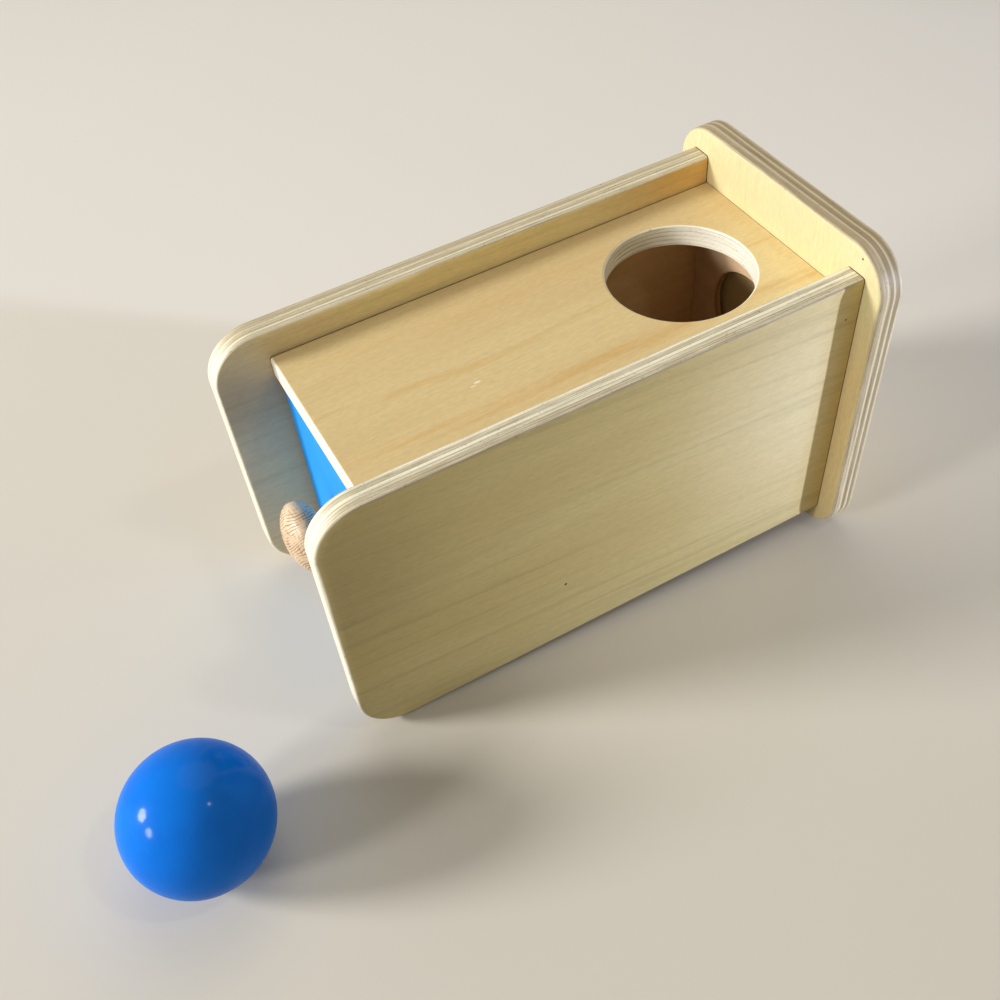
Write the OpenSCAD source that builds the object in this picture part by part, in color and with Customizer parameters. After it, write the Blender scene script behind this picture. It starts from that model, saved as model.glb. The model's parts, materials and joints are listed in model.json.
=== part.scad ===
// Wooden box with a ball hole in its top and a drawer that gives the ball back.
// The back panel reaches below the box, so the box leans forward and the ball rolls to the front.
// Box frame: X across, Y from the side panels' front edges to the back, Z up from their lower edges.
// The finished part stands on the floor at Z = 0, with its drawer facing -Y.

/* [Box] */
// Width over the two side panels
box_w = 97; // [88:0.5:130]
// Length of a side panel, from its front edge to the back panel
side_len = 202; // [170:1:280]
// Height of a side panel
side_h = 116; // [108:1:150]
// Thickness of the plywood that the box is made of
panel_t = 9; // [7:0.5:12]
// Radius of the side panels' front corners
side_corner_r = 18; // [8:1:30]
// Step from the side panels' long edges to the top panel and to the bottom panel
panel_inset = 11; // [6:0.5:14]
// Setback of the top and bottom panels behind the side panels' front edges
panel_setback = 21; // [12:1:35]

/* [Back panel] */
// Thickness of the back panel
back_t = 9.5; // [7:0.5:12]
// Overhang of the back panel past each side panel
back_lap = 8.25; // [0:0.25:15]
// Overhang of the back panel above the side panels
back_rise = 10; // [0:0.5:20]
// Reach of the back panel below the side panels, which tips the box forward
back_drop = 10.5; // [2:0.5:20]
// Radius of the back panel's corners
back_corner_r = 17; // [4:1:30]

/* [Ball and hole] */
// Diameter of the ball
ball_d = 50; // [46:0.5:54]
// Room between the ball and the rim of its hole, all round
hole_room = 1.75; // [0.5:0.25:4]
// Distance from the back panel to the middle of the ball hole
hole_to_back = 39.5; // [34:0.5:70]
// Distance from the box's front to the middle of the ball on the floor
ball_ahead = 63.9; // [50:0.1:100]
// Room between the ball on the floor and the path of the drawer
ball_room = 0.7; // [0.4:0.1:40]

/* [Drawer] */
// Thickness of the drawer front
front_t = 9; // [7:0.5:12]
// Setback of the drawer front behind the front of the top panel
front_setback = 1.5; // [0:0.25:5]
// Thickness of the drawer's sides and back
wall_t = 4; // [3.5:0.25:6]
// Thickness of the drawer bottom
tray_t = 3; // [2:0.25:5]
// Height of the drawer bottom above the lower edges of the drawer sides
tray_lift = 3; // [2:0.25:6]
// Depth of the grooves that hold the drawer bottom
groove_d = 2; // [1:0.25:2.5]
// Depth of the steps in the drawer front that the drawer sides sit in
rebate_d = 5; // [3:0.25:6]
// Width that the rim of the hole in the drawer back keeps in front of the ball
back_hole_lap = 3; // [1:0.25:8]
// Running gap on each side of the drawer
side_gap = 0.6; // [0.3:0.1:1.5]
// Running gap above the drawer
top_gap = 0.6; // [0.3:0.1:1.5]
// Running gap under the drawer
under_gap = 0.3; // [0.2:0.1:0.8]
// Gap behind the closed drawer
behind_gap = 2.5; // [1:0.25:6]

/* [Knob] */
// Diameter of the knob's head
knob_d = 26.6; // [20:0.1:34]
// Thickness of the knob's head
knob_head_t = 14.7; // [10:0.1:18]
// Length of the knob in front of the drawer
knob_len = 22.2; // [18:0.1:30]
// Diameter of the knob's neck
knob_neck_d = 11; // [8:0.5:16]
// Radius of the cove at the foot of the neck
knob_cove_r = 3; // [1:0.25:5]

/* [Fixings] */
// Diameter of the dowels
dowel_d = 5; // [3:0.5:6]
// Length of the dowels
dowel_len = 14; // [10:0.5:16]
// Part of a dowel's length that sits in the face of a panel
dowel_face_seat = 5; // [3:0.25:6]
// Number of dowels along each edge
dowel_count = 3; // [2:1:5]
// Distance from the ends of an edge to its first and last dowel
dowel_margin = 20; // [12:1:30]
// Diameter of the brads in the drawer
brad_d = 1.4; // [1:0.1:2]
// Length of the brads
brad_len = 12; // [9:0.5:16]
// Diameter of a brad's head
brad_head_d = 2.4; // [2.2:0.1:3.4]
// Thickness of a brad's head
brad_head_t = 0.7; // [0.4:0.1:1.2]
// Diameter of the knob screw's shank
screw_d = 3.5; // [2.5:0.25:5]
// Length of the knob screw
screw_len = 22; // [16:0.5:26]
// Diameter of the knob screw's countersunk head
screw_head_d = 7; // [5.5:0.25:9]
// Height of the knob screw's countersunk head
screw_head_t = 2.2; // [1.5:0.1:3]
// Width of the cross slots in the screw's head
screw_slot_w = 0.9; // [0.6:0.1:1.4]
// Length of the cross slots in the screw's head
screw_slot_len = 3.6; // [2.5:0.1:4.5]
// Depth of the cross slots in the screw's head
screw_slot_d = 1.2; // [0.6:0.1:1.5]

/* [Hidden] */
// Glue line round a dowel
glue_gap = 0.1;
// Empty end of a dowel's hole
dowel_end_gap = 0.3;
// Play of the drawer bottom in its grooves
groove_gap = 0.1;
// Play round a brad and its head
brad_gap = 0.05;
// Play of the screw in the drawer front
screw_gap = 0.2;
// Play of the screw in the knob
thread_gap = 0.05;
// Run of a cut past the face that it opens
over = 1;
// Part of the drawer back's spare height that lies under its hole
back_hole_share = 0.62;
// Heights of the brads as shares of the drawer's height
brad_height_shares = [0.2, 0.8];
// Angle between neighbouring points of the knob's outline
knob_step = 7.5;
$fn = 96;

// Inside of the box
inner_half = box_w / 2 - panel_t;
panel_len = side_len - panel_setback;
top_z = side_h - panel_inset - panel_t;
hole_d = ball_d + 2 * hole_room;
back_w = box_w + 2 * back_lap;
back_h = side_h + back_rise + back_drop;

// Lean of the box, resting on its round front corners and on the back panel's lower front edge
lean_run = side_len - side_corner_r;
lean_rise = side_corner_r + back_drop;
lean = acos(side_corner_r / norm([lean_run, lean_rise])) - atan2(lean_run, lean_rise);
floor_lift = back_drop * cos(lean) - side_len * sin(lean);
origin_y = (side_len + back_t) / 2 * cos(lean);

// Outline of the drawer
drawer_half = inner_half - side_gap;
drawer_z = panel_inset + panel_t + under_gap;
drawer_top = top_z - top_gap;
drawer_h = drawer_top - drawer_z;
front_y = panel_setback + front_setback;
front_back_y = front_y + front_t;
drawer_end_y = side_len - behind_gap;
tray_half = drawer_half - wall_t;
groove_z = drawer_z + tray_lift;
tray_z = groove_z + groove_gap;
tray_top_z = tray_z + tray_t;
back_hole_d = ball_d - 2 * back_hole_lap;
back_spare_h = drawer_top - tray_top_z - back_hole_d;
back_hole_z = tray_top_z + back_hole_share * back_spare_h + back_hole_d / 2;
knob_z = (drawer_z + drawer_top) / 2;
knob_mid = knob_len - knob_head_t / 2;

// Places of the fixings
dowel_edge_seat = dowel_len - dowel_face_seat;
dowel_x = inner_half + panel_t / 2;
dowel_pitch_y = (panel_len - 2 * dowel_margin) / (dowel_count - 1);
dowel_pitch_z = (side_h - 2 * dowel_margin) / (dowel_count - 1);
dowel_ys = [for (i = [0 : dowel_count - 1]) panel_setback + dowel_margin + i * dowel_pitch_y];
dowel_zs = [for (i = [0 : dowel_count - 1]) dowel_margin + i * dowel_pitch_z];
panel_zs = [top_z + panel_t / 2, panel_inset + panel_t / 2];
brad_ys = [front_back_y - rebate_d / 2, drawer_end_y - wall_t / 2];
brad_zs = [for (share = brad_height_shares) drawer_z + share * drawer_h];

birch = [0.88, 0.76, 0.55];
brown_wood = [0.58, 0.40, 0.24];
dowel_wood = [0.80, 0.64, 0.42];
beech = [0.89, 0.70, 0.50];
drawer_blue = [0.13, 0.52, 0.93];
ball_blue = [0.07, 0.36, 0.80];
steel = [0.72, 0.73, 0.75];

// Stands what is drawn in the box frame on the floor
module on_table() {
    translate([0, -origin_y, floor_lift])
        rotate([lean, 0, 0])
            children();
}

module along_x() {
    rotate([0, 90, 0])
        children();
}

module along_y() {
    rotate([-90, 0, 0])
        children();
}

module both_sides() {
    children();
    mirror([1, 0, 0])
        children();
}

// Rectangle with round corners
module plate(width, height, radius) {
    translate([radius, 0])
        square([width - 2 * radius, height]);
    translate([0, radius])
        square([width, height - 2 * radius]);
    for (x = [radius, width - radius], y = [radius, height - radius])
        translate([x, y])
            circle(radius);
}

// Outline of a side panel: round corners in front, square corners at the back
module side_outline() {
    plate(side_len, side_h, side_corner_r);
    translate([side_len - side_corner_r, 0])
        square([side_corner_r, side_h]);
}

// Dowels or their holes across X, from a panel's edge into the side panels
module cross_dowels(z, face_seat, edge_seat, gap) {
    both_sides()
        for (y = dowel_ys)
            translate([inner_half - edge_seat, y, z])
                along_x()
                    cylinder(h = face_seat + edge_seat, d = dowel_d + 2 * gap);
}

// Dowels or their holes along Y, from the side panels' rear edges into the back panel
module rear_dowels(face_seat, edge_seat, gap) {
    both_sides()
        for (z = dowel_zs)
            translate([dowel_x, side_len - edge_seat, z])
                along_y()
                    cylinder(h = face_seat + edge_seat, d = dowel_d + 2 * gap);
}

module cross_dowel_holes(z) {
    cross_dowels(z, dowel_face_seat + dowel_end_gap, dowel_edge_seat + dowel_end_gap, glue_gap);
}

module rear_dowel_holes() {
    rear_dowels(dowel_face_seat + dowel_end_gap, dowel_edge_seat + dowel_end_gap, glue_gap);
}

module side_panel() {
    difference() {
        translate([inner_half, 0, 0])
            rotate([90, 0, 90])
                linear_extrude(panel_t)
                    side_outline();
        for (z = panel_zs)
            cross_dowel_holes(z);
        rear_dowel_holes();
    }
}

module right_side_panel() {
    color(birch)
        on_table()
            side_panel();
}

module left_side_panel() {
    color(birch)
        on_table()
            mirror([1, 0, 0])
                side_panel();
}

module back_panel() {
    color(birch)
        on_table()
            difference() {
                translate([-back_w / 2, side_len + back_t, -back_drop])
                    rotate([90, 0, 0])
                        linear_extrude(back_t)
                            plate(back_w, back_h, back_corner_r);
                rear_dowel_holes();
            }
}

// Board between the side panels, drilled at its edges
module inner_board(z) {
    difference() {
        translate([-inner_half, panel_setback, z])
            cube([2 * inner_half, panel_len, panel_t]);
        cross_dowel_holes(z + panel_t / 2);
    }
}

module top_panel() {
    color(birch)
        on_table()
            difference() {
                inner_board(top_z);
                translate([0, side_len - hole_to_back, top_z - over])
                    cylinder(h = panel_t + 2 * over, d = hole_d);
            }
}

module bottom_panel() {
    color(birch)
        on_table()
            inner_board(panel_inset);
}

module top_panel_dowels() {
    color(dowel_wood)
        on_table()
            cross_dowels(panel_zs[0], dowel_face_seat, dowel_edge_seat, 0);
}

module bottom_panel_dowels() {
    color(dowel_wood)
        on_table()
            cross_dowels(panel_zs[1], dowel_face_seat, dowel_edge_seat, 0);
}

module back_panel_dowels() {
    color(dowel_wood)
        on_table()
            rear_dowels(dowel_face_seat, dowel_edge_seat, 0);
}

// Groove for the drawer bottom, cut into the drawer's front and sides
module tray_groove() {
    half = tray_half + groove_d;
    translate([-half, front_back_y - groove_d, groove_z])
        cube([2 * half, drawer_end_y - front_back_y + groove_d + over, tray_t + 2 * groove_gap]);
}

// Brads, or with a gap and a run past the surface their holes, driven in through the drawer's sides
module brads(gap, run) {
    both_sides()
        for (y = brad_ys, z = brad_zs)
            translate([drawer_half - brad_len - gap, y, z])
                along_x() {
                    cylinder(h = brad_len + gap, d = brad_d + 2 * gap);
                    translate([0, 0, brad_len - brad_head_t])
                        cylinder(h = brad_head_t + gap + run, d = brad_head_d + 2 * gap);
                }
}

// Screw, or with a gap and a run past the surface its hole, from inside the drawer into the knob
module screw_shape(gap, run) {
    translate([0, front_back_y, knob_z])
        rotate([90, 0, 0]) {
            cylinder(h = screw_len + gap, d = screw_d + 2 * gap);
            cylinder(h = screw_head_t, d1 = screw_head_d + 2 * gap, d2 = screw_d + 2 * gap);
            translate([0, 0, -run])
                cylinder(h = run, d = screw_head_d + 2 * gap);
        }
}

module drawer_front() {
    color(drawer_blue)
        on_table()
            difference() {
                translate([-drawer_half, front_y, drawer_z])
                    cube([2 * drawer_half, front_t, drawer_h]);
                both_sides()
                    translate([tray_half, front_back_y - rebate_d, drawer_z - over])
                        cube([wall_t + over, rebate_d + over, drawer_h + 2 * over]);
                tray_groove();
                brads(brad_gap, over);
                screw_shape(screw_gap, over);
            }
}

module drawer_side() {
    difference() {
        translate([tray_half, front_back_y - rebate_d, drawer_z])
            cube([wall_t, drawer_end_y - front_back_y + rebate_d, drawer_h]);
        tray_groove();
        brads(brad_gap, over);
    }
}

module drawer_right_side() {
    color(brown_wood)
        on_table()
            drawer_side();
}

module drawer_left_side() {
    color(brown_wood)
        on_table()
            mirror([1, 0, 0])
                drawer_side();
}

module drawer_back() {
    color(brown_wood)
        on_table()
            difference() {
                translate([-tray_half, drawer_end_y - wall_t, tray_top_z])
                    cube([2 * tray_half, wall_t, drawer_top - tray_top_z]);
                translate([0, drawer_end_y - wall_t - over, back_hole_z])
                    along_y()
                        cylinder(h = wall_t + 2 * over, d = back_hole_d);
                brads(brad_gap, over);
            }
}

module drawer_bottom() {
    half = tray_half + groove_d - groove_gap;
    start_y = front_back_y - groove_d + groove_gap;
    color(brown_wood)
        on_table()
            translate([-half, start_y, tray_z])
                cube([2 * half, drawer_end_y - start_y, tray_t]);
}

module drawer_brads() {
    color(steel)
        on_table()
            brads(0, 0);
}

// Half outline of the knob: an oval head on a neck with a cove at its foot
module knob_outline() {
    foot_r = knob_neck_d / 2 + knob_cove_r;
    polygon([for (a = [-90 : knob_step : 90])
        [knob_d / 2 * cos(a), knob_mid + knob_head_t / 2 * sin(a)]]);
    square([knob_neck_d / 2, knob_mid]);
    difference() {
        square([foot_r, knob_cove_r]);
        translate([foot_r, knob_cove_r])
            circle(knob_cove_r);
    }
}

module knob() {
    color(beech)
        on_table()
            difference() {
                translate([0, front_y, knob_z])
                    rotate([90, 0, 0])
                        rotate_extrude()
                            knob_outline();
                screw_shape(thread_gap, over);
            }
}

module knob_screw() {
    color(steel)
        on_table()
            difference() {
                screw_shape(0, 0);
                for (size = [[screw_slot_len, screw_slot_w], [screw_slot_w, screw_slot_len]])
                    translate([-size[0] / 2, front_back_y - screw_slot_d, knob_z - size[1] / 2])
                        cube([size[0], screw_slot_d + over, size[1]]);
            }
}

module ball() {
    color(ball_blue)
        translate([drawer_half + ball_room + ball_d / 2, -origin_y - ball_ahead, ball_d / 2])
            sphere(d = ball_d);
}

left_side_panel();
right_side_panel();
back_panel();
top_panel();
bottom_panel();
top_panel_dowels();
bottom_panel_dowels();
back_panel_dowels();
drawer_front();
drawer_left_side();
drawer_right_side();
drawer_back();
drawer_bottom();
drawer_brads();
knob();
knob_screw();
ball();
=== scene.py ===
import bpy
import json
import math
from mathutils import Matrix, Quaternion, Vector


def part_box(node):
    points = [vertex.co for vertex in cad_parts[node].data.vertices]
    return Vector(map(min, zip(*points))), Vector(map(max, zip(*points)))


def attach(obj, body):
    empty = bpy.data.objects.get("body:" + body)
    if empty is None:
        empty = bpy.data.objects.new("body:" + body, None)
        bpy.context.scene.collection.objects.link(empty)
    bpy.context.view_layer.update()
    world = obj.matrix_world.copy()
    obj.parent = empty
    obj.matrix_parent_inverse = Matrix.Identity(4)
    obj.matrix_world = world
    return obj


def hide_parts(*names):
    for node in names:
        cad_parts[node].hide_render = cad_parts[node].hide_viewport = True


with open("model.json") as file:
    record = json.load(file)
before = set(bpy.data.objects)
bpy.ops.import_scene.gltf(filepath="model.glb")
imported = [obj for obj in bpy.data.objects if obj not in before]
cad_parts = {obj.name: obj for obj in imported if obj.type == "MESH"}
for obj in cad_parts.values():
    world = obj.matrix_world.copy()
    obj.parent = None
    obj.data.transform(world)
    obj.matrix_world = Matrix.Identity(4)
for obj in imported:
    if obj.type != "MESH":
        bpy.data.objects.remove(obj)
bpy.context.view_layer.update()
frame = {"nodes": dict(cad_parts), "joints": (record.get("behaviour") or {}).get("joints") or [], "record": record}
nodes = frame["nodes"]
scene = bpy.context.scene
scene.view_settings.view_transform = "Standard"

# the box leans forward: pieces are modelled upright and leaned when they are finished
slide = next(joint for joint in frame["joints"] if joint["name"] == "drawer_slide")
lean = math.asin(-slide["axis"][2])
upright = Matrix.Rotation(-lean, 4, "X")
uprightTurn = (-lean, 0, 0)
print("frame loaded, lean", round(math.degrees(lean), 3), "degrees")


# camera and light

cameraView = {
    "lens": 40.98,
    "place": (0.2622, -0.15976, 0.35802),
    "azimuth": 62.66,
    "elevation": 47.68,
    "roll": -1.89,
    "nearest": 0.01,
}

studioLights = {
    "windowLeft": {"azimuth": -18.5, "elevation": 20.4, "distance": 3.0, "size": 0.70, "watts": 79,
                   "color": (1.0, 0.99, 0.97), "target": (0, 0, 0.06)},
    "windowRight": {"azimuth": 4.0, "elevation": 19.4, "distance": 3.0, "size": 0.55, "watts": 31,
                    "color": (1.0, 0.99, 0.97), "target": (0, 0, 0.06)},
    "ceiling": {"azimuth": -100, "elevation": 68, "distance": 0.8, "size": 0.80, "watts": 1.45,
                "color": (1.0, 0.97, 0.91), "target": (-0.10, 0.09, 0)},
    "glint": {"azimuth": 122.6, "elevation": 62.5, "distance": 1.0, "size": 0.07, "watts": 0.60,
              "color": (1.0, 1.0, 1.0), "target": (0, 0, 0.06)},
}

# a window behind the right side, cut off halfway along the box
sideWindow = {
    "place": (1.905, 2.521, 0.24),
    "target": (-0.195, 0.240, 0.06),
    "beam": 12,
    "blend": 0.10,
    "size": 0.10,
    "watts": 860,
    "color": (0.66, 0.73, 1.0),
}

skyLight = {"color": (0.98, 0.97, 0.85, 1), "strength": 0.22, "backdrop": (0.80, 0.78, 0.74, 1)}


def towards(azimuth, elevation):
    # direction from the object to what stands at that angle, with 0 in front of the drawer
    turn = math.radians(azimuth)
    rise = math.radians(elevation)
    flat = math.cos(rise)
    return Vector((math.sin(turn) * flat, -math.cos(turn) * flat, math.sin(rise)))


def placeCamera(view):
    bpy.ops.object.camera_add(location=view["place"])
    camera = bpy.context.object
    aim = -towards(view["azimuth"], view["elevation"])
    roll = Quaternion((0, 0, 1), math.radians(view["roll"]))
    camera.rotation_mode = "QUATERNION"
    camera.rotation_quaternion = aim.to_track_quat("-Z", "Y") @ roll
    camera.data.lens = view["lens"]
    camera.data.clip_start = view["nearest"]
    scene.camera = camera


def placeLight(name, light):
    back = towards(light["azimuth"], light["elevation"])
    place = Vector(light["target"]) + back * light["distance"]
    bpy.ops.object.light_add(type="AREA", location=place)
    lamp = bpy.context.object
    lamp.name = name
    lamp.rotation_mode = "QUATERNION"
    lamp.rotation_quaternion = (-back).to_track_quat("-Z", "Y")
    lamp.data.shape = "DISK"
    lamp.data.size = light["size"]
    lamp.data.energy = light["watts"]
    lamp.data.color = light["color"]


def placeBeam(light):
    place = Vector(light["place"])
    bpy.ops.object.light_add(type="SPOT", location=place)
    lamp = bpy.context.object
    lamp.name = "sideWindow"
    lamp.rotation_mode = "QUATERNION"
    lamp.rotation_quaternion = (Vector(light["target"]) - place).to_track_quat("-Z", "Y")
    lamp.data.spot_size = math.radians(light["beam"])
    lamp.data.spot_blend = light["blend"]
    lamp.data.shadow_soft_size = light["size"]
    lamp.data.energy = light["watts"]
    lamp.data.color = light["color"]


# shader maths

class Wire:
    # a socket of a material's nodes: arithmetic on it adds Math nodes
    def __init__(self, tree, socket=None):
        self.tree = tree
        self.socket = socket

    def node(self, kind, settings=None, sockets=None, output=0):
        made = self.tree.nodes.new("ShaderNode" + kind)
        for name, value in (settings or {}).items():
            setattr(made, name, value)
        for name, value in (sockets or {}).items():
            if isinstance(value, Wire):
                self.tree.links.new(value.socket, made.inputs[name])
            else:
                made.inputs[name].default_value = value
        return Wire(self.tree, made.outputs[output])

    def output(self, name):
        return Wire(self.tree, self.socket.node.outputs[name])

    def math(self, operation, *values):
        return self.node("Math", {"operation": operation}, dict(enumerate(values)))

    def __add__(self, other):
        return self.math("ADD", self, other)

    __radd__ = __add__

    def __sub__(self, other):
        return self.math("SUBTRACT", self, other)

    def __rsub__(self, other):
        return self.math("SUBTRACT", other, self)

    def __mul__(self, other):
        return self.math("MULTIPLY", self, other)

    __rmul__ = __mul__

    def __truediv__(self, other):
        return self.math("DIVIDE", self, other)

    def __rtruediv__(self, other):
        return self.math("DIVIDE", other, self)

    def __abs__(self):
        return self.math("ABSOLUTE", self)

    def lowest(self, other):
        return self.math("MINIMUM", self, other)

    def apart(self, point):
        return self.node("VectorMath", {"operation": "DISTANCE"}, {0: self, 1: point}, "Value")

    def ease(self, start, end):
        # 0 before start, 1 after end, smooth between
        sockets = {"Value": self, "From Min": start, "From Max": end}
        return self.node("MapRange", {"interpolation_type": "SMOOTHSTEP"}, sockets)

    def mix(self, first, second):
        # from the first colour at 0 to the second at 1
        return self.node("Mix", {"data_type": "RGBA"}, {0: self, 6: first, 7: second}, 2)

    def shade(self, color, strength):
        # darkens a colour where this value is high
        level = 1 - self * strength
        grey = self.node("CombineXYZ", {}, {"X": level, "Y": level, "Z": level})
        settings = {"data_type": "RGBA", "blend_type": "MULTIPLY"}
        return self.node("Mix", settings, {0: 1.0, 6: color, 7: grey}, 2)

    def ramp(self, stops):
        # a level for each place, straight between the stops
        level = self.node("ValToRGB", {}, {"Fac": self})
        bar = level.socket.node.color_ramp.elements
        for element, (place, value) in zip((bar[0], bar[1]), (stops[0], stops[-1])):
            element.position = place
            element.color = (value, value, value, 1)
        for place, value in stops[1:-1]:
            bar.new(place).color = (value, value, value, 1)
        return level

    def stretched(self, scale, turn=(0, 0, 0), shift=(0, 0, 0)):
        sockets = {"Vector": self, "Scale": scale, "Rotation": turn, "Location": shift}
        return self.node("Mapping", {}, sockets)

    def scaled(self, scale, shift=0.0):
        return self.stretched([scale] * 3, shift=[shift] * 3)

    def noise(self, detail=2.0, distortion=0.0, roughness=0.5):
        sockets = {"Vector": self, "Scale": 1.0, "Detail": detail, "Distortion": distortion,
                   "Roughness": roughness}
        return self.node("TexNoise", {}, sockets)

    def bump(self, height, strength):
        return self.node("Bump", {}, {"Height": self, "Distance": height, "Strength": strength})


def tint(red, green, blue):
    # a screen colour as the linear one that the shaders take
    steps = [level / 255 for level in (red, green, blue)]
    linear = [step / 12.92 if step <= 0.04045 else ((step + 0.055) / 1.055) ** 2.4 for step in steps]
    return (*linear, 1.0)


def newMaterial(name):
    material = bpy.data.materials.new(name)
    material.use_nodes = True
    tree = material.node_tree
    shader = tree.nodes["Principled BSDF"]
    return material, shader, Wire(tree)


def setShader(shader, **sockets):
    for name, value in sockets.items():
        socket = shader.inputs[name.replace("_", " ")]
        if isinstance(value, Wire):
            value.tree.links.new(value.socket, socket)
        else:
            socket.default_value = value


def uprightPlace(start):
    # object coordinates with the lean taken out, so that a pattern follows the boards
    return start.node("TexCoord", {}, {}, "Object").stretched((1, 1, 1), uprightTurn)


def uprightNormal(start):
    sockets = {"Vector": start.node("TexCoord", {}, {}, "Normal"), "Rotation": uprightTurn}
    return start.node("Mapping", {"vector_type": "VECTOR"}, sockets)


def uprightBox(node):
    # lowest and highest corners of a node once the lean is taken out
    points = [upright @ vertex.co for vertex in nodes[node].data.vertices]
    low = Vector([min(point[axis] for point in points) for axis in range(3)])
    high = Vector([max(point[axis] for point in points) for axis in range(3)])
    return low, high


# materials

rightPlies = (
    (0.00, 0.85), (0.03, 0.75), (0.055, 0.30), (0.085, 0.45), (0.115, 0.85), (0.185, 0.95), (0.21, 0.35),
    (0.26, 0.48), (0.30, 0.36), (0.34, 0.50), (0.395, 0.22), (0.425, 0.90), (0.52, 0.92), (0.55, 0.26),
    (0.60, 0.58), (0.68, 0.54), (0.715, 0.12), (0.77, 0.48), (0.83, 0.10), (0.86, 0.42), (0.93, 0.45),
    (0.955, 0.10), (1.00, 0.00),
)
leftPlies = (
    (0.00, 0.00), (0.04, 0.05), (0.075, 0.25), (0.11, 0.05), (0.165, 0.42), (0.23, 0.36), (0.27, 0.12),
    (0.37, 0.16), (0.41, 0.12), (0.44, 0.62), (0.505, 0.58), (0.55, 0.24), (0.61, 0.50), (0.665, 0.15),
    (0.73, 0.24), (0.765, 0.88), (0.82, 0.78), (0.875, 0.12), (0.91, 0.70), (1.00, 0.90),
)
rearPlies = (
    (0.00, 0.85), (0.06, 0.60), (0.10, 0.22), (0.18, 0.42), (0.215, 0.55), (0.25, 0.40), (0.31, 0.50),
    (0.34, 0.95), (0.39, 0.95), (0.42, 0.35), (0.48, 0.10), (0.56, 0.18), (0.61, 0.40), (0.64, 1.00),
    (0.69, 0.95), (0.72, 0.30), (0.77, 0.08), (0.85, 0.20), (0.885, 0.40), (0.91, 0.95), (0.95, 0.85),
    (1.00, 0.10),
)
innerPlies = (
    (0.00, 0.80), (0.10, 0.80), (0.13, 0.25), (0.17, 0.78), (0.30, 0.88), (0.33, 0.15), (0.37, 0.75),
    (0.50, 0.90), (0.53, 0.20), (0.58, 0.72), (0.70, 0.90), (0.73, 0.22), (0.77, 0.85), (0.88, 0.92),
    (0.905, 0.40), (0.94, 0.92), (1.00, 1.00),
)
drawerPlies = ((0.00, 0.75), (0.30, 0.75), (0.34, 0.20), (0.66, 0.25), (0.70, 0.75), (1.00, 0.75))

birchLook = {
    "plies": rightPlies,              # light and dark plies from one face of the board to the other
    "waver": 0.030,                   # unevenness of the plies, as a share of the thickness
    "pale": tint(226, 201, 147),
    "warm": tint(220, 191, 136),
    "honey": tint(214, 168, 92),
    "longLight": tint(252, 244, 219), # edges that run with the grain
    "longDark": tint(174, 157, 121),
    "endLight": tint(248, 242, 226),  # edges that cut across it
    "endDark": tint(226, 214, 186),
    "speck": tint(46, 34, 24),
    "scratch": tint(250, 240, 214),
    "roughness": 0.50,
    "lines": 0.10,                    # depth of the fine dark lines in the veneer
    "tilt": 0.0,                      # turn of the grain on its face, in degrees
    "streaks": (),                    # place across the grain, width and depth of honey coloured streaks
    "specks": (),                     # place and radius
    "scratches": (),                  # place, half length and half width
    "paintedLightPatches": (),                    # place, reach and colour of broad patches of painted light and shade in the veneer
    "seam": 0.0,                      # width of the dark line along the board's sides
    "endSeam": 0.0,                   # and along its rear end
    "seamColor": tint(80, 52, 20),
}
leftLook = dict(
    birchLook,
    plies=leftPlies,
    lines=0.15,
    # paler, greyer veneer than the other boards: partly the board's own tone, partly painted light and shade of
    # the inner face
    pale=tint(231, 212, 172),
    warm=tint(226, 205, 163),
    # painted light and shade on the inner face: darker at the front end, a paler lit band above the top panel, a
    # darker warmer shaded corner at the rear
    paintedLightPatches=(
        ((-0.0395, -0.098, 0.098), (0.008, 0.050, 0.038), tint(190, 168, 134)),
        ((-0.0395, 0.005, 0.122), (0.008, 0.150, 0.034), tint(255, 234, 170)),
        ((-0.0395, 0.090, 0.122), (0.008, 0.055, 0.034), tint(230, 186, 112)),
    ),
    endSeam=0.0006,
    longLight=tint(240, 229, 200),
    longDark=tint(184, 168, 134),
)
rightLook = dict(
    birchLook,
    lines=0.18,
    tilt=4.0,
    # darker veneer than the other boards: partly the board's own tone, partly painted shade of this side
    pale=tint(212, 193, 133),
    warm=tint(206, 184, 123),
    # painted light and shade on the outer face: darker towards the front top, a lighter lit rear half, and a strip
    # of painted shadow at the rear end beside the back panel
    paintedLightPatches=(
        ((0.0485, -0.100, 0.092), (0.008, 0.050, 0.060), tint(187, 168, 114)),
        ((0.0485, 0.085, 0.080), (0.008, 0.085, 0.100), tint(232, 216, 168)),
        ((0.0485, 0.097, 0.070), (0.008, 0.018, 0.300), tint(204, 178, 112)),
    ),
    endSeam=0.0006,
    specks=(((0.0485, -0.0218, 0.0363), 0.0007), ((0.0485, 0.0912, 0.1060), 0.0005)),
)
rearLook = dict(
    birchLook,
    plies=rearPlies,
    lines=0.05,
    pale=tint(227, 204, 150),
    warm=tint(221, 197, 142),
    # painted light: a paler, greener tone high on the front face, where the light falls strongest
    paintedLightPatches=(((0, 0.0965, 0.135), (0.25, 0.008, 0.060), tint(228, 219, 172)),),
    longLight=tint(227, 210, 170),
    longDark=tint(156, 140, 106),
    endLight=tint(204, 186, 153),
    endDark=tint(150, 132, 99),
    specks=(((0.0455, 0.0965, 0.1272), 0.0005),),
)
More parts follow.
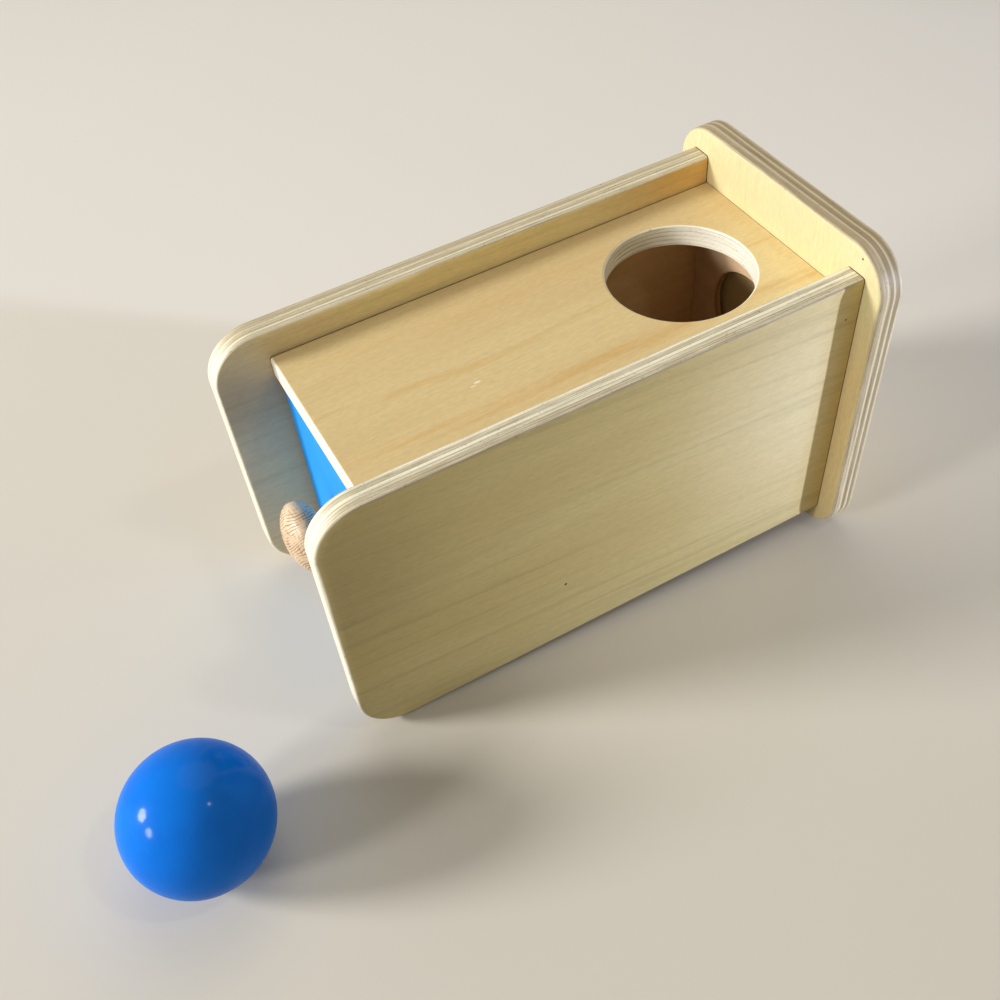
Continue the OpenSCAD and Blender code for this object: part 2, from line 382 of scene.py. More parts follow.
topLook = dict(
    birchLook,
    plies=innerPlies,
    lines=0.05,
    tilt=-2.0,
    longLight=tint(250, 243, 222),
    longDark=tint(196, 180, 146),
    endDark=tint(232, 222, 198),
    streaks=((0.001, 0.0030, 0.45), (0.0225, 0.0042, 0.50), (-0.024, 0.0050, 0.18)),
    scratches=(((0.0105, -0.0303, 0.1100), 0.0017, 0.0006), ((0.0116, -0.0325, 0.1100), 0.0013, 0.0003)),
    # painted light: a paler tone at the rear of the top towards the right, where light thrown back by the back
    # panel falls
    paintedLightPatches=(((0.030, 0.100, 0.110), (0.07, 0.07, 0.008), tint(243, 219, 160)),),
    seam=0.0007,
    endSeam=0.0004,
)
drawerLook = dict(
    birchLook,
    plies=drawerPlies,
    pale=tint(232, 196, 142),
    warm=tint(220, 178, 122),
    honey=tint(206, 150, 92),
    longLight=tint(236, 208, 160),
    longDark=tint(186, 146, 100),
    endLight=tint(220, 186, 136),
    endDark=tint(176, 132, 88),
)
drawerRearLook = dict(
    drawerLook,
    pale=tint(232, 199, 160),
    warm=tint(218, 178, 138),
)


# scales along and across the grain, shift, noise detail, distortion and roughness, and span of each mark
veneerGrain = {
    "tone": {"along": 6, "across": 34, "shift": 0.0, "noise": (3, 0.6, 0.5), "span": (0.30, 0.70)},
    "line": {"along": 5, "across": 260, "shift": 3.1, "noise": (4, 0.4, 0.60), "span": (0.48, 0.78)},
    "fibre": {"along": 50, "across": 1500, "shift": 7.7, "noise": (4, 0.2, 0.62), "span": (0.25, 0.80)},
    "pore": {"along": 200, "across": 3000, "shift": 1.3, "noise": (1, 0.0, 0.5), "span": (0.66, 0.76)},
    "fleck": {"along": 320, "across": 1000, "shift": 9.1, "noise": (2, 0.3, 0.6), "span": (0.32, 0.68)},
    "broken": {"along": 24, "across": 420, "shift": 2.2, "noise": (3, 0.0, 0.5), "span": (0.30, 0.62)},
    "wander": {"along": 11, "across": 11, "shift": 5.0, "noise": (2, 0.0, 0.5)},
}
veneerFinish = {
    "fibreDepth": 0.07,
    "poreDepth": 0.10,
    "fleckDepth": 0.07,
    "wander": 0.022,                  # width of the band that a streak wanders in
    "speckCore": 0.6,                 # share of a speck that is fully dark
    "scratchCore": 0.5,
    "scratchDepth": 0.8,
}


def veneer(place, axes, look, grain, across):
    # face of a board: broad tones, patches of painted light and shade, fine lines, streaks and fibres along the
    # grain
    turn = [0.0, 0.0, 0.0]
    turn[3 - grain - across] = math.radians(look["tilt"])
    turned = place.stretched((1, 1, 1), turn)

    def grainNoise(kind):
        pattern = veneerGrain[kind]
        scale = [pattern["across"]] * 3
        scale[grain] = pattern["along"]
        return turned.stretched(scale, shift=[pattern["shift"]] * 3).noise(*pattern["noise"])

    def grainMark(kind):
        return grainNoise(kind).ease(*veneerGrain[kind]["span"])

    color = grainMark("tone").mix(look["warm"], look["pale"])
    # patches of painted light and shade: lighter where light falls on the board, darker where shade falls
    for middle, reach, patch in look["paintedLightPatches"]:
        there = [value / share for value, share in zip(middle, reach)]
        away = place.stretched([1 / share for share in reach]).apart(there)
        color = (1 - away.ease(0.0, 1.0)).mix(color, patch)
    wander = (grainNoise("wander") - 0.5) * veneerFinish["wander"]
    broken = grainMark("broken")
    for middle, width, depth in look["streaks"]:
        aside = abs(axes.output("XYZ"[across]) - middle + wander)
        color = ((1 - aside.ease(0.0, width)) * broken * depth).mix(color, look["honey"])
    color = grainMark("line").shade(color, look["lines"])
    fibre = grainNoise("fibre")
    color = fibre.ease(*veneerGrain["fibre"]["span"]).shade(color, veneerFinish["fibreDepth"])
    color = grainMark("pore").shade(color, veneerFinish["poreDepth"])
    color = grainMark("fleck").shade(color, veneerFinish["fleckDepth"])
    for middle, radius in look["specks"]:
        spot = 1 - place.apart(middle).ease(radius * veneerFinish["speckCore"], radius)
        color = spot.mix(color, look["speck"])
    for middle, length, width in look["scratches"]:
        scale = [1 / width] * 3
        scale[grain] = 1 / length
        there = [value * share for value, share in zip(middle, scale)]
        nick = 1 - place.stretched(scale).apart(there).ease(veneerFinish["scratchCore"], 1.0)
        color = (nick * veneerFinish["scratchDepth"]).mix(color, look["scratch"])
    return color, fibre


# scales through the board and along it, noise detail, distortion and roughness, and span of each mark
plyGrain = {
    "wave": {"through": 16, "along": 16, "noise": (2, 0.0, 0.5)},
    "ripple": {"through": 90, "along": 90, "noise": (2, 0.0, 0.5)},
    "fine": {"through": 2400, "along": 42, "noise": (3, 0.0, 0.6)},
    "patch": {"through": 700, "along": 130, "noise": (2, 0.0, 0.5)},
    "glue": {"through": 4200, "along": 30, "noise": (1, 0.0, 0.5), "span": (0.58, 0.68)},
    "grit": {"through": 1500, "along": 1500, "noise": (2, 0.0, 0.5), "span": (0.52, 0.75)},
    "pits": {"through": 2400, "along": 700, "noise": (1, 0.0, 0.5), "span": (0.66, 0.74)},
}
plyFinish = {
    "waveShare": 0.7,                 # the rest of the unevenness is ripple
    "fineDepth": 1.1,
    "patchDepth": 0.4,
    "plySpan": (-0.05, 1.05),
    "endSpan": (0.25, 0.85),          # tilt of the surface from long edge to end grain
    "faceSpan": (0.84, 0.97),         # and from edge to face
    "glueDepth": 0.30,
    "gritDepth": 0.10,
    "pitDepth": 0.35,
    "seamCore": 0.4,                  # share of a seam that is fully dark
    "fibreGloss": 0.16,               # change of the roughness between fibres
    "fibreBump": 0.6,
    "gritBump": 0.4,
    "bumpHeight": 0.00005,
    "bumpStrength": 0.4,
    "specular": 0.3,
}


def plywood(name, node, grain, look):
    # a board cut from plies: its thickness tells which ply shows, its normal whether it is end grain
    low, high = uprightBox(node)
    size = high - low
    thin = min(range(3), key=lambda axis: size[axis])
    across = 3 - thin - grain
    material, shader, start = newMaterial(name)
    place = uprightPlace(start)
    axes = start.node("SeparateXYZ", {}, {"Vector": place})
    turns = start.node("SeparateXYZ", {}, {"Vector": uprightNormal(start)})

    def plyNoise(kind):
        pattern = plyGrain[kind]
        scale = [pattern["along"]] * 3
        scale[thin] = pattern["through"]
        return place.stretched(scale).noise(*pattern["noise"])

    def plyMark(kind):
        return plyNoise(kind).ease(*plyGrain[kind]["span"])

    def seamLine(color, inside, width):
        line = 1 - inside.ease(width * plyFinish["seamCore"], width)
        return line.mix(color, look["seamColor"])

    waveShare = plyFinish["waveShare"]
    wave = plyNoise("wave") * waveShare + plyNoise("ripple") * (1 - waveShare)
    depth = (axes.output("XYZ"[thin]) - low[thin]) / size[thin] + (wave - 0.5) * look["waver"]
    ply = depth.ramp(look["plies"]) + (plyNoise("fine") - 0.5) * plyFinish["fineDepth"]
    ply = (ply + (plyNoise("patch") - 0.5) * plyFinish["patchDepth"]).ease(*plyFinish["plySpan"])
    longPlies = ply.mix(look["longDark"], look["longLight"])
    endPlies = ply.mix(look["endDark"], look["endLight"])
    plies = abs(turns.output("XYZ"[grain])).ease(*plyFinish["endSpan"]).mix(longPlies, endPlies)
    plies = plyMark("glue").shade(plies, plyFinish["glueDepth"])
    grit = plyNoise("grit")
    plies = grit.ease(*plyGrain["grit"]["span"]).shade(plies, plyFinish["gritDepth"])
    plies = plyMark("pits").shade(plies, plyFinish["pitDepth"])

    face, fibre = veneer(place, axes, look, grain, across)
    color = abs(turns.output("XYZ"[thin])).ease(*plyFinish["faceSpan"]).mix(plies, face)
    if look["seam"]:
        side = axes.output("XYZ"[across])
        color = seamLine(color, (side - low[across]).lowest(high[across] - side), look["seam"])
    if look["endSeam"]:
        color = seamLine(color, high[grain] - axes.output("XYZ"[grain]), look["endSeam"])
    relief = fibre * plyFinish["fibreBump"] + grit * plyFinish["gritBump"]
    setShader(
        shader,
        Base_Color=color,
        Roughness=(fibre - 0.5) * plyFinish["fibreGloss"] + look["roughness"],
        Normal=relief.bump(plyFinish["bumpHeight"], plyFinish["bumpStrength"]),
        Specular_IOR_Level=plyFinish["specular"],
    )
    return material


paintLook = {
    "drawer": {"color": tint(44, 152, 238), "deep": tint(41, 148, 234), "roughness": 0.55,
               "specular": 0.08, "coat": 0.0},
    "ball": {"color": tint(12, 118, 226), "deep": tint(10, 110, 218), "roughness": 0.35,
             "specular": 0.02, "coat": 0.15},
}


paintFinish = {
    "cloud": 60,                      # scales of the marks in the lacquer
    "peel": 520,
    "dust": 1600,
    "cloudSpan": (0.3, 0.7),
    "dustSpan": (0.72, 0.80),
    "dustDepth": 0.10,
    "dustBump": 0.3,
    "cloudGloss": 0.06,               # change of the roughness between clouds
    "coatRoughness": 0.11,
    "bumpHeight": 0.00012,
    "bumpStrength": 0.5,
}


def paint(name, look):
    # sprayed lacquer over wood: slight cloudiness, orange peel and fine dust
    material, shader, start = newMaterial(name)
    place = uprightPlace(start)
    cloud = place.scaled(paintFinish["cloud"]).noise(3, 0.4).ease(*paintFinish["cloudSpan"])
    peel = place.scaled(paintFinish["peel"]).noise(2)
    dust = place.scaled(paintFinish["dust"]).noise(1).ease(*paintFinish["dustSpan"])
    color = cloud.mix(look["deep"], look["color"])
    relief = peel + dust * paintFinish["dustBump"]
    setShader(
        shader,
        Base_Color=dust.shade(color, paintFinish["dustDepth"]),
        Roughness=(cloud - 0.5) * paintFinish["cloudGloss"] + look["roughness"],
        Specular_IOR_Level=look["specular"],
        Coat_Weight=look["coat"],
        Coat_Roughness=paintFinish["coatRoughness"],
        Normal=relief.bump(paintFinish["bumpHeight"], paintFinish["bumpStrength"]),
    )
    return material


beechLook = {
    "pale": tint(224, 201, 168),
    "deep": tint(213, 181, 144),
    "line": tint(112, 68, 42),
    "tone": 120,
    "toneSpan": (0.3, 0.7),
    "bend": (130, 60, 130),           # waviness that the rings and the turning marks share
    "heart": (-0.045, 0.045),         # middle of the growth rings from the knob's axis, across and up
    "rings": 1000,                    # in a metre
    "ringBend": 3.4,
    "ringRise": (0.42, 0.70),         # where a ring turns dark
    "ringFall": (0.84, 1.0),          # and pale again
    "ringDepth": 0.70,
    "faint": (260, 140, 260),
    "faintShift": (4, 4, 4),
    "faintSpan": (0.36, 0.60),
    "faintest": 0.1,                  # what is left of a ring where it is faint
    "turns": 800,                     # marks left by the turning, in a metre
    "turnBend": 1.2,
    "turnRise": (0.55, 0.75),
    "turnFall": (0.80, 1.0),
    "turnDepth": 0.50,
    "broken": 420,
    "brokenShift": 8,
    "brokenSpan": (0.45, 0.65),
    "roughness": 0.42,
    "ringGloss": 0.12,
    "ringBump": 0.6,
    "turnBump": 0.4,
    "bumpHeight": 0.00012,
    "bumpStrength": 0.6,
    "coat": 0.12,
    "coatRoughness": 0.3,
}


def turnedBeech(name, look):
    # growth rings cut by the turning, with short dark rays between them
    material, shader, start = newMaterial(name)
    place = uprightPlace(start)
    low, high = uprightBox("knob")
    axes = start.node("SeparateXYZ", {}, {"Vector": place})
    aside = axes.output("X") - (low.x + high.x) / 2 - look["heart"][0]
    above = axes.output("Z") - (low.z + high.z) / 2 - look["heart"][1]
    bend = place.stretched(look["bend"]).noise(2)
    reach = aside.math("SQRT", aside * aside + above * above)
    growth = reach * look["rings"] + bend * look["ringBend"]
    ring = growth.math("FRACT", growth)
    faint = place.stretched(look["faint"], shift=look["faintShift"]).noise(2).ease(*look["faintSpan"])
    shown = faint * (1 - look["faintest"]) + look["faintest"]
    late = ring.ease(*look["ringRise"]) * (1 - ring.ease(*look["ringFall"])) * shown
    turning = axes.output("Y") * look["turns"] + bend * look["turnBend"]
    mark = turning.math("FRACT", turning)
    broken = place.scaled(look["broken"], look["brokenShift"]).noise(2).ease(*look["brokenSpan"])
    ray = mark.ease(*look["turnRise"]) * (1 - mark.ease(*look["turnFall"])) * broken
    tone = place.scaled(look["tone"]).noise(3).ease(*look["toneSpan"])
    color = tone.mix(look["pale"], look["deep"])
    color = (late * look["ringDepth"]).mix(color, look["line"])
    color = (ray * look["turnDepth"]).mix(color, look["line"])
    relief = 1 - late * look["ringBump"] - ray * look["turnBump"]
    setShader(
        shader,
        Base_Color=color,
        Roughness=late * look["ringGloss"] + look["roughness"],
        Normal=relief.bump(look["bumpHeight"], look["bumpStrength"]),
        Coat_Weight=look["coat"],
        Coat_Roughness=look["coatRoughness"],
    )
    return material


dowelLook = {
    "pale": tint(214, 178, 122),
    "deep": tint(182, 140, 88),
    "fibre": (300, 300, 900),
    "span": (0.3, 0.7),
    "roughness": 0.5,
    "fibreGloss": 0.2,
}


def dowelWood(name, look):
    material, shader, start = newMaterial(name)
    fibre = uprightPlace(start).stretched(look["fibre"]).noise(3, 0.4)
    setShader(
        shader,
        Base_Color=fibre.ease(*look["span"]).mix(look["pale"], look["deep"]),
        Roughness=fibre * look["fibreGloss"] + look["roughness"],
    )
    return material


steelLook = {
    "bright": tint(196, 198, 202),
    "dull": tint(150, 150, 150),
    "brushed": (1800, 300, 1800),
    "span": (0.3, 0.7),
    "roughness": 0.22,
    "brushedGloss": 0.25,
}


def steel(name, look):
    material, shader, start = newMaterial(name)
    brushed = uprightPlace(start).stretched(look["brushed"]).noise(3)
    setShader(
        shader,
        Base_Color=brushed.ease(*look["span"]).mix(look["bright"], look["dull"]),
        Metallic=1.0,
        Roughness=brushed * look["brushedGloss"] + look["roughness"],
    )
    return material


# modelling helpers

meshLimits = {
    "merge": 0.000001,                # points closer than this are one
    "same": 0.000005,                 # lengths closer than this are equal
    "smoothAngle": 50,
    "normalWeight": 100,
    "through": 4,                     # length of a cutter, in thicknesses of the board
}
holeTurns = {"Y": (math.pi / 2, 0, 0), "Z": (0, 0, 0)}


def only(piece):
    if bpy.context.mode != "OBJECT":
        bpy.ops.object.mode_set(mode="OBJECT")
    bpy.ops.object.select_all(action="DESELECT")
    piece.select_set(True)
    bpy.context.view_layer.objects.active = piece


def addBlock(name, low, high):
    bpy.ops.object.select_all(action="DESELECT")
    bpy.ops.mesh.primitive_cube_add(size=1, location=(low + high) / 2, scale=high - low)
    block = bpy.context.object
    block.name = name
    bpy.ops.object.transform_apply()
    return block


def selectEdges(piece, wanted):
    only(piece)
    bpy.ops.object.mode_set(mode="EDIT")
    bpy.ops.mesh.select_mode(type="EDGE")
    bpy.ops.mesh.select_all(action="DESELECT")
    bpy.ops.object.mode_set(mode="OBJECT")
    points = piece.data.vertices
    for edge in piece.data.edges:
        edge.select = wanted(points[edge.vertices[0]].co, points[edge.vertices[1]].co)
    bpy.ops.object.mode_set(mode="EDIT")


def bevelEdges(piece, wanted, radius, segments):
    selectEdges(piece, wanted)
    bpy.ops.mesh.bevel(offset=radius, segments=segments, affect="EDGES")
    bpy.ops.object.mode_set(mode="OBJECT")


def addModifier(piece, kind, **settings):
    only(piece)
    modifier = piece.modifiers.new(kind.lower(), kind)
    for name, value in settings.items():
        setattr(modifier, name, value)
    bpy.ops.object.modifier_apply(modifier=modifier.name)


def cutAway(piece, cutter):
    addModifier(piece, "BOOLEAN", object=cutter, operation="DIFFERENCE", solver="EXACT")
    bpy.data.objects.remove(cutter)


def cutterFrom(node):
    # merged upright copy of a CAD node, for the hole that it sits in
    cutter = nodes[node].copy()
    cutter.data = nodes[node].data.copy()
    cutter.parent = None
    scene.collection.objects.link(cutter)
    cutter.data.transform(upright)
    only(cutter)
    bpy.ops.object.mode_set(mode="EDIT")
    bpy.ops.mesh.select_all(action="SELECT")
    bpy.ops.mesh.remove_doubles(threshold=meshLimits["merge"])
    bpy.ops.object.mode_set(mode="OBJECT")
    return cutter


def cutBlock(piece, low, high, room):
    spare = Vector((room, room, room))
    cutAway(piece, addBlock("cutter", low - spare, high + spare))


def cutRound(piece, centre, radius, depth, axis, segments):
    bpy.ops.object.select_all(action="DESELECT")
    bpy.ops.mesh.primitive_cylinder_add(
        vertices=segments,
        radius=radius,
        depth=depth,
        location=centre,
        rotation=holeTurns[axis],
    )
    cutter = bpy.context.object
    bpy.ops.object.transform_apply()
    cutAway(piece, cutter)


def same(first, second):
    return abs(first - second) < meshLimits["same"]


def smoothByAngle(piece):
    only(piece)
    bpy.ops.object.shade_smooth_by_angle(angle=math.radians(meshLimits["smoothAngle"]))


def smoothFaces(piece):
    smoothByAngle(piece)
    addModifier(piece, "WEIGHTED_NORMAL", keep_sharp=True, weight=meshLimits["normalWeight"])


def dress(piece, node, body, material, leaned=True):
    # lean the finished piece, give it its material, attach it to its body and hide the CAD node that it stands for
    only(piece)
    if leaned:
        piece.rotation_euler.x = lean
    bpy.ops.object.transform_apply()
    piece.data.materials.clear()
    piece.data.materials.append(material)
    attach(piece, body)
    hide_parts(node)
    print(piece.name, "made,", len(piece.data.polygons), "faces")


# box

sidePanel = {
    "cornerRadius": 0.018,
    "cornerSegments": 18,
    "edge": 0.0013,
    "segments": 5,
    "rearEdge": 0.0004,
    "rearSegments": 2,
    "frontWear": 2.0,                 # extra rounding of the outer arris along the front, in edges
    "lowWear": 0.25,                  # share of that wear at the foot of the panel
    "wearReach": 1.01,                # how far it reaches in from the outer face, in edges
}


def wearFront(panel, low, high):
    # hands have rounded the outer arris more along the front than along the top
    radius = sidePanel["cornerRadius"]
    reach = sidePanel["edge"] * sidePanel["wearReach"]
    lowWear = sidePanel["lowWear"]
    outer = max(low.x, high.x, key=abs)
    for vertex in panel.data.vertices:
        point = vertex.co
        nearestHeight = min(max(point.z, low.z + radius), high.z - radius)
        nearest = Vector((0, max(point.y, low.y + radius), nearestHeight))
        out = Vector((0, point.y, point.z)) - nearest
        if abs(point.x - outer) < reach and out.y < 0:
            inset = radius - out.length
            height = (point.z - low.z) / (high.z - low.z)
            front = abs(out.y / out.length) * (lowWear + (1 - lowWear) * height)
            point -= out.normalized() * inset * sidePanel["frontWear"] * front


def makeSidePanel(name, node, material):
    low, high = uprightBox(node)
    panel = addBlock(name, low, high)

    def frontCorner(start, end):
        return same(start.y, low.y) and same(end.y, low.y) and same(start.z, end.z)

    def rim(start, end):
        onFace = same(start.x, end.x) and (same(start.x, low.x) or same(start.x, high.x))
        return onFace and not (same(start.y, high.y) and same(end.y, high.y))

    def rear(start, end):
        return same(start.y, high.y) and same(end.y, high.y) and same(start.x, end.x)

    bevelEdges(panel, frontCorner, sidePanel["cornerRadius"], sidePanel["cornerSegments"])
    bevelEdges(panel, rim, sidePanel["edge"], sidePanel["segments"])
    bevelEdges(panel, rear, sidePanel["rearEdge"], sidePanel["rearSegments"])
    wearFront(panel, low, high)
    for dowels in ("top_panel_dowels", "bottom_panel_dowels", "back_panel_dowels"):
        cutAway(panel, cutterFrom(dowels))
    smoothFaces(panel)
    dress(panel, node, "box", material)


backPanel = {
    "cornerRadius": 0.017,
    "cornerSegments": 18,
    "edge": 0.0012,
    "rearEdge": 0.0006,
    "segments": 4,
}


def makeBackPanel(material):
    low, high = uprightBox("back_panel")
    panel = addBlock("rearPanel", low, high)

    def corner(start, end):
        return not same(start.y, end.y)

    def rim(start, end):
        return same(start.y, low.y) and same(end.y, low.y)

    def rearRim(start, end):
        return same(start.y, high.y) and same(end.y, high.y)

    bevelEdges(panel, corner, backPanel["cornerRadius"], backPanel["cornerSegments"])
    bevelEdges(panel, rim, backPanel["edge"], backPanel["segments"])
    bevelEdges(panel, rearRim, backPanel["rearEdge"], backPanel["segments"])
    cutAway(panel, cutterFrom("back_panel_dowels"))
    smoothFaces(panel)
    dress(panel, "back_panel", "box", material)


innerPanel = {
    "edge": 0.0012,
    "segments": 4,
    "frontReach": 0.0018,             # depth behind the front that the seam edges leave alone
    "seamEdge": 0.0003,
    "seamSegments": 2,
    "holeEdge": 0.0009,
    "holeSegments": 128,
    "holeFit": 0.0001,                # how near to the circle the rim of the hole lies
}


def cutBallHole(panel, depth):
    mount = next(mount for mount in frame["record"]["mounts"] if mount["name"] == "ball_hole")
    centre = upright @ Vector(mount["pos_m"])
    radius = mount["dims"]["r_mm"] / 1000
    cutRound(panel, centre, radius, depth, "Z", innerPanel["holeSegments"])

    def onCircle(point):
        return abs((point - centre).xy.length - radius) < innerPanel["holeFit"]

    def rim(start, end):
        return onCircle(start) and onCircle(end) and same(start.z, end.z)

    bevelEdges(panel, rim, innerPanel["holeEdge"], innerPanel["segments"])


def makeInnerPanel(name, node, dowels, material):
    low, high = uprightBox(node)
    panel = addBlock(name, low, high)
    frontEnd = low.y + innerPanel["frontReach"]

    def frontEdge(start, end):
        return same(start.y, low.y) and same(end.y, low.y) and same(start.z, end.z)

    def seamEdge(start, end):
        onFace = same(start.z, end.z) and (same(start.z, low.z) or same(start.z, high.z))
        return onFace and not (start.y < frontEnd and end.y < frontEnd)

    bevelEdges(panel, frontEdge, innerPanel["edge"], innerPanel["segments"])
    bevelEdges(panel, seamEdge, innerPanel["seamEdge"], innerPanel["seamSegments"])
    if node == "top_panel":
        cutBallHole(panel, meshLimits["through"] * (high.z - low.z))
    cutAway(panel, cutterFrom(dowels))
    smoothFaces(panel)
    dress(panel, node, "box", material)


# drawer

drawerFront = {
    "edge": 0.0011,
    "segments": 4,
    "runOut": 0.002,                  # how far the cutters of the rebates pass the edges of the front
}
drawerBoard = {
    "edge": 0.0005,
    "segments": 2,
    "bevelAngle": 40,
    "grooveRoom": 0.0001,
    "backHoleRadius": 0.022,
    "backHoleRise": 0.0375,
    "holeSegments": 96,
}


def rebateCutter(side):
    # the rebate of a drawer side runs out through the edges of the front
    start, end = uprightBox(side)
    start.z -= drawerFront["runOut"]
    end.z += drawerFront["runOut"]
    if start.x > 0:
        end.x += drawerFront["runOut"]
    else:
        start.x -= drawerFront["runOut"]
    return addBlock("cutter", start, end)


def makeDrawerFront(material):
    low, high = uprightBox("drawer_front")
    front = addBlock("drawerFace", low, high)

    def frontRim(start, end):
        return same(start.y, low.y) or same(end.y, low.y)

    bevelEdges(front, frontRim, drawerFront["edge"], drawerFront["segments"])
    for side in ("drawer_left_side", "drawer_right_side"):
        cutAway(front, rebateCutter(side))
    cutBlock(front, *uprightBox("drawer_bottom"), drawerBoard["grooveRoom"])
    for fixing in ("drawer_brads", "knob_screw"):
        cutAway(front, cutterFrom(fixing))
    smoothFaces(front)
    dress(front, "drawer_front", "drawer", material)


def makeDrawerBoard(name, node, material):
    low, high = uprightBox(node)
    board = addBlock(name, low, high)
    if node == "drawer_back":
        centre = Vector((0, (low.y + high.y) / 2, low.z + drawerBoard["backHoleRise"]))
        depth = meshLimits["through"] * (high.y - low.y)
        cutRound(board, centre, drawerBoard["backHoleRadius"], depth, "Y", drawerBoard["holeSegments"])
    addModifier(
        board,
        "BEVEL",
        width=drawerBoard["edge"],
        segments=drawerBoard["segments"],
        limit_method="ANGLE",
        angle_limit=math.radians(drawerBoard["bevelAngle"]),
    )
    if node in ("drawer_left_side", "drawer_right_side"):
        cutBlock(board, *uprightBox("drawer_bottom"), drawerBoard["grooveRoom"])
    if node != "drawer_bottom":
        cutAway(board, cutterFrom("drawer_brads"))
    smoothFaces(board)
    dress(board, node, "drawer", material)


knobShape = {
    "headThickness": 0.0147,
    "segments": 72,
    "rings": 48,
    "neckRadius": 0.0055,
    "neckStart": ((0.0004, 0.0003), (0.0010, 0.0)),  # steps back from the head and out from the neck
    "cove": 0.003,
    "coveSteps": 5,
    "boreRadius": 0.0018,
    "boreSegments": 24,
}


def addKnobHead(middle, radius, half):
    bpy.ops.object.select_all(action="DESELECT")
    bpy.ops.mesh.primitive_uv_sphere_add(
        segments=knobShape["segments"],
        ring_count=knobShape["rings"],
        radius=1,
        location=middle,
        rotation=(math.pi / 2, 0, 0),
        scale=(radius, radius, half),
    )
    knob = bpy.context.object
    knob.name = "drawerKnob"
    bpy.ops.object.transform_apply()
    return knob


def neckProfile(start, end):
    # places along the knob's axis and radii of the neck and of the cove at its foot
    neck = knobShape["neckRadius"]
    cove = knobShape["cove"]
    profile = [(start + back, neck + out) for back, out in knobShape["neckStart"]]
    profile.append((end - cove, neck))
    for step in range(1, knobShape["coveSteps"] + 1):
        angle = step / knobShape["coveSteps"] * math.pi / 2
        profile.append((end - cove * (1 - math.sin(angle)), neck + cove * (1 - math.cos(angle))))
    return profile


def makeKnob(material):
    low, high = uprightBox("knob")
    half = knobShape["headThickness"] / 2
    middle = Vector((0, low.y + half, (low.z + high.z) / 2))
    knob = addKnobHead(middle, (high.x - low.x) / 2, half)

    def fromAxis(point):
        return math.hypot(point.x - middle.x, point.z - middle.z)

    # open the back of the head where the neck starts, then draw the neck and its cove out of the rim
    only(knob)
    bpy.ops.object.mode_set(mode="EDIT")
    bpy.ops.mesh.select_mode(type="VERT")
    bpy.ops.mesh.select_all(action="DESELECT")
    bpy.ops.object.mode_set(mode="OBJECT")
    for vertex in knob.data.vertices:
        vertex.select = vertex.co.y > middle.y and fromAxis(vertex.co) < knobShape["neckRadius"]
    bpy.ops.object.mode_set(mode="EDIT")
    bpy.ops.mesh.delete(type="VERT")
    bpy.ops.mesh.select_non_manifold()
    bpy.ops.object.mode_set(mode="OBJECT")
    rim = next(vertex.co.copy() for vertex in knob.data.vertices if vertex.select)
    here = rim.y
    reach = fromAxis(rim)
    bpy.ops.object.mode_set(mode="EDIT")
    for place, size in neckProfile(here, high.y):
        bpy.ops.mesh.extrude_region_move(TRANSFORM_OT_translate={"value": (0, place - here, 0)})
        ratio = size / reach
        bpy.ops.transform.resize(value=(ratio, 1, ratio), center_override=(middle.x, place, middle.z))
        here = place
        reach = size
    bpy.ops.mesh.edge_face_add()
    bpy.ops.mesh.select_all(action="SELECT")
    bpy.ops.mesh.normals_make_consistent(inside=False)
    bpy.ops.object.mode_set(mode="OBJECT")
    foot = Vector((middle.x, high.y, middle.z))
    boreLength = 2 * (high.y - uprightBox("knob_screw")[0].y)
    cutRound(knob, foot, knobShape["boreRadius"], boreLength, "Y", knobShape["boreSegments"])
    smoothByAngle(knob)
    dress(knob, "knob", "drawer", material)


# ball

ballShape = {"cuts": 3, "levels": 4}


def makeBall(material):
    low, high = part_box("ball")
    centre = (low + high) / 2
    radius = (high.z - low.z) / 2
    bpy.ops.object.select_all(action="DESELECT")
    bpy.ops.mesh.primitive_cube_add(size=2 * radius, location=(0, 0, 0))
    ball = bpy.context.object
    ball.name = "woodenBall"
    bpy.ops.object.mode_set(mode="EDIT")
    bpy.ops.mesh.subdivide(number_cuts=ballShape["cuts"])
    bpy.ops.object.mode_set(mode="OBJECT")
    addModifier(ball, "SUBSURF", levels=ballShape["levels"], render_levels=ballShape["levels"])
    addModifier(ball, "CAST", cast_type="SPHERE", factor=1.0, use_radius_as_size=False, size=radius)
    ball.location = centre
    only(ball)
    bpy.ops.object.shade_smooth()
    dress(ball, "ball", "ball", material, leaned=False)


# floor

floorLook = {
    "size": 8.0,
    "pale": tint(228, 222, 212),
    "deep": tint(224, 217, 206),
    "cloud": 3,
    "roughness": 0.9,
    "specular": 0.1,
}


def makeFloor(look):
    bpy.ops.object.select_all(action="DESELECT")
    bpy.ops.mesh.primitive_plane_add(size=look["size"], location=(0, 0, 0))
    floor = bpy.context.object
    floor.name = "floor"
    material, shader, start = newMaterial("paleFloor")
    place = start.node("TexCoord", {}, {}, "Object")
    cloud = place.scaled(look["cloud"]).noise(3)
    setShader(
        shader,
        Base_Color=cloud.mix(look["pale"], look["deep"]),
        Roughness=look["roughness"],
        Specular_IOR_Level=look["specular"],
    )
    floor.data.materials.append(material)


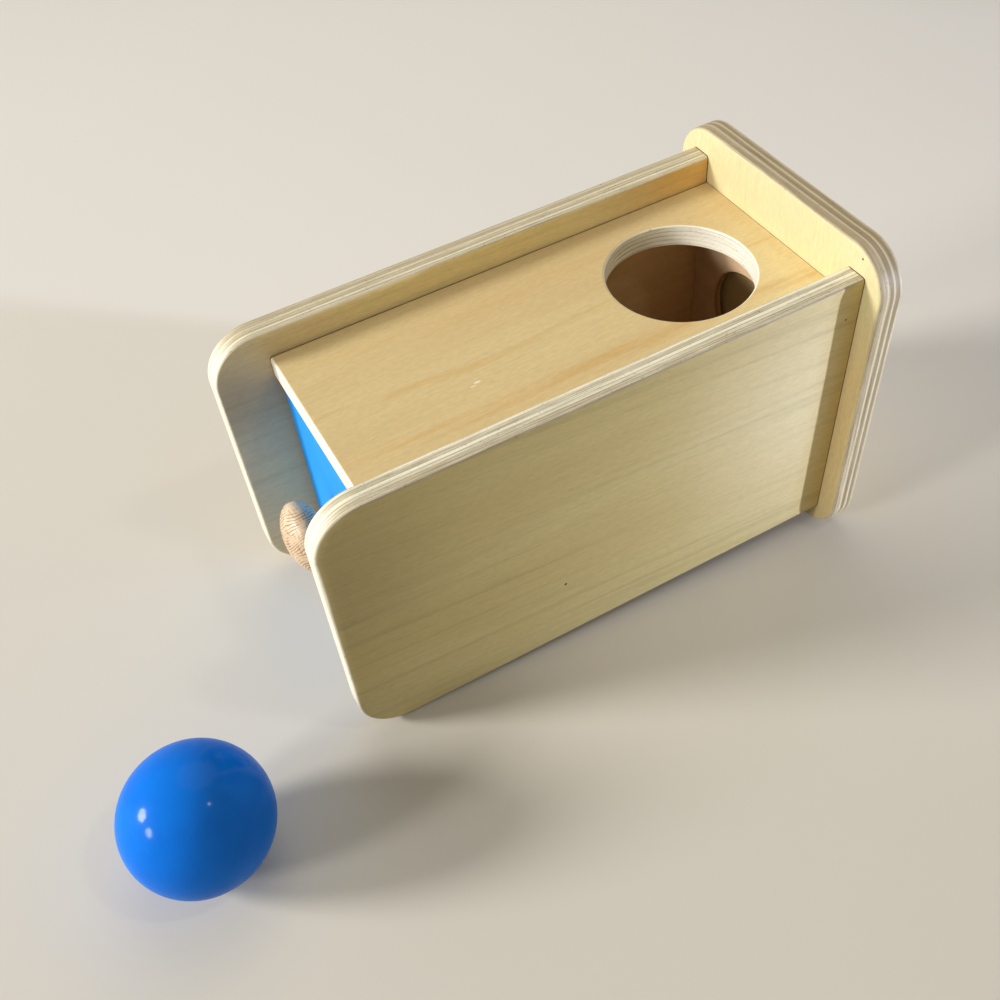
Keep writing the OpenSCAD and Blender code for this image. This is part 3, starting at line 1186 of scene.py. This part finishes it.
def makeSky(look):
    world = bpy.data.worlds.new("studio")
    scene.world = world
    world.use_nodes = True
    background = world.node_tree.nodes["Background"]
    sky = Wire(world.node_tree)
    ray = sky.node("LightPath", {}, {}, "Is Camera Ray")
    seen = (ray + ray.output("Is Glossy Ray") + ray.output("Is Transmission Ray")).lowest(1)
    color = seen.mix(look["color"], look["backdrop"])
    strength = seen * (1 - look["strength"]) + look["strength"]
    world.node_tree.links.new(color.socket, background.inputs["Color"])
    world.node_tree.links.new(strength.socket, background.inputs["Strength"])


placeCamera(cameraView)
for lightName, light in studioLights.items():
    placeLight(lightName, light)
placeBeam(sideWindow)
makeFloor(floorLook)
makeSky(skyLight)
print("camera, lights and floor set")

# axes that the grain runs along
crosswise = 0
lengthwise = 1
upwards = 2

for panelName, node, woodName, look in (
    ("leftSide", "left_side_panel", "birchLeft", leftLook),
    ("rightSide", "right_side_panel", "birchRight", rightLook),
):
    makeSidePanel(panelName, node, plywood(woodName, node, lengthwise, look))
makeBackPanel(plywood("birchRear", "back_panel", upwards, rearLook))
for panelName, node in (("topPanel", "top_panel"), ("bottomPanel", "bottom_panel")):
    makeInnerPanel(panelName, node, node + "_dowels", plywood(panelName + "Wood", node, lengthwise, topLook))
print("box made")

makeDrawerFront(paint("drawerPaint", paintLook["drawer"]))
for boardName, node, grain, look in (
    ("drawerLeft", "drawer_left_side", lengthwise, drawerLook),
    ("drawerRight", "drawer_right_side", lengthwise, drawerLook),
    ("drawerRear", "drawer_back", crosswise, drawerRearLook),
    ("drawerTray", "drawer_bottom", lengthwise, drawerLook),
):
    makeDrawerBoard(boardName, node, plywood(boardName + "Wood", node, grain, look))
makeKnob(turnedBeech("turnedBeech", beechLook))
makeBall(paint("ballPaint", paintLook["ball"]))
print("drawer and ball made")

# nodes whose CAD shape is right only get a finish
dowelFinish = dowelWood("dowelWood", dowelLook)
steelFinish = steel("brightSteel", steelLook)
plainNodes = {
    "top_panel_dowels": dowelFinish,
    "bottom_panel_dowels": dowelFinish,
    "back_panel_dowels": dowelFinish,
    "drawer_brads": steelFinish,
    "knob_screw": steelFinish,
}
for node, finish in plainNodes.items():
    nodes[node].data.materials.clear()
    nodes[node].data.materials.append(finish)
print("finishes set")
